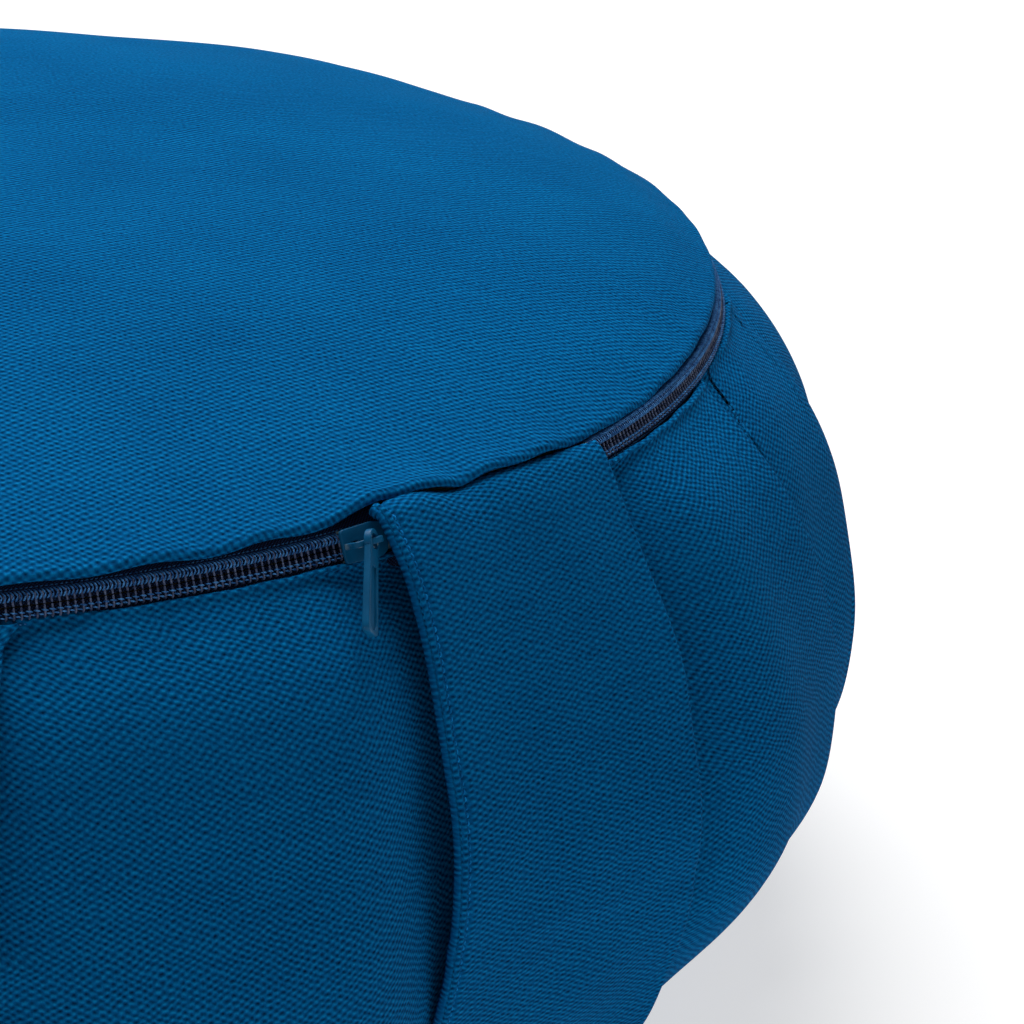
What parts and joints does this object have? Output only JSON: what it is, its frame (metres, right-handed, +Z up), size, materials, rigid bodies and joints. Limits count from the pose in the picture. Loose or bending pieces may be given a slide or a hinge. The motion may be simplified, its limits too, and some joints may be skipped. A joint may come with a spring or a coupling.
{
  "type": "floor cushion",
  "caption": "Round pleated floor cushion: zip-off canvas cover with a domed top and broad carrying handle, over a husk-filled cloth liner",
  "frame": {"origin": "Centre of the flat underside that the cushion stands on.", "axes": "+Z is up, through the middle of the cushion. The carrying handle faces -Y, and +X is to the right of someone who faces the handle."},
  "size_m": [0.3994, 0.3952, 0.16],
  "materials": {
    "canvas": "coarse plain-weave cotton canvas, matte",
    "zip_tape": "woven polyester tape",
    "zip_coil": "nylon filament",
    "zip_metal": "enamelled zinc, slightly worn at its edges",
    "calico": "unbleached plain cotton",
    "husk": "loose dry grain husks, matte"
  },
  "bodies": {
    "cushion": {"cover_top_panel": "canvas", "cover_bottom_panel": "canvas", "cover_side_band": "canvas", "carry_handle": "canvas", "zip_tape_upper": "zip_tape", "zip_tape_lower": "zip_tape", "zip_coil_upper": "zip_coil", "zip_coil_lower": "zip_coil", "zip_top_stop_upper": "zip_metal", "zip_top_stop_lower": "zip_metal", "zip_bottom_stop": "zip_metal", "liner_top_panel": "calico", "liner_bottom_panel": "calico", "liner_side_band": "calico", "husk_filling": "husk"},
    "slider": {"slider_body": "zip_metal", "slider_crown": "zip_metal"},
    "lock_pin": {"slider_lock_pin": "zip_metal"},
    "pull": {"pull_tab": "zip_metal"}
  },
  "joints": [
    {"name": "slider_travel", "type": "hinge", "parent": "cushion", "child": "slider", "pos_m": [0, 0, 0], "axis": [0, 0, 1], "range_deg": [-334, 0]},
    {"name": "pull_swing", "type": "hinge", "parent": "slider", "child": "pull", "pos_m": [-0.03164, -0.17453, 0.13227], "axis": [-0.985, 0.1728, 0], "range_deg": [0, 140]},
    {"name": "lock_pin_lift", "type": "slide", "parent": "slider", "child": "lock_pin", "axis": [-0.1591, -0.9067, 0.3907], "range_m": [0, 0.0005], "stiffness_N_per_m": 20}
  ]
}
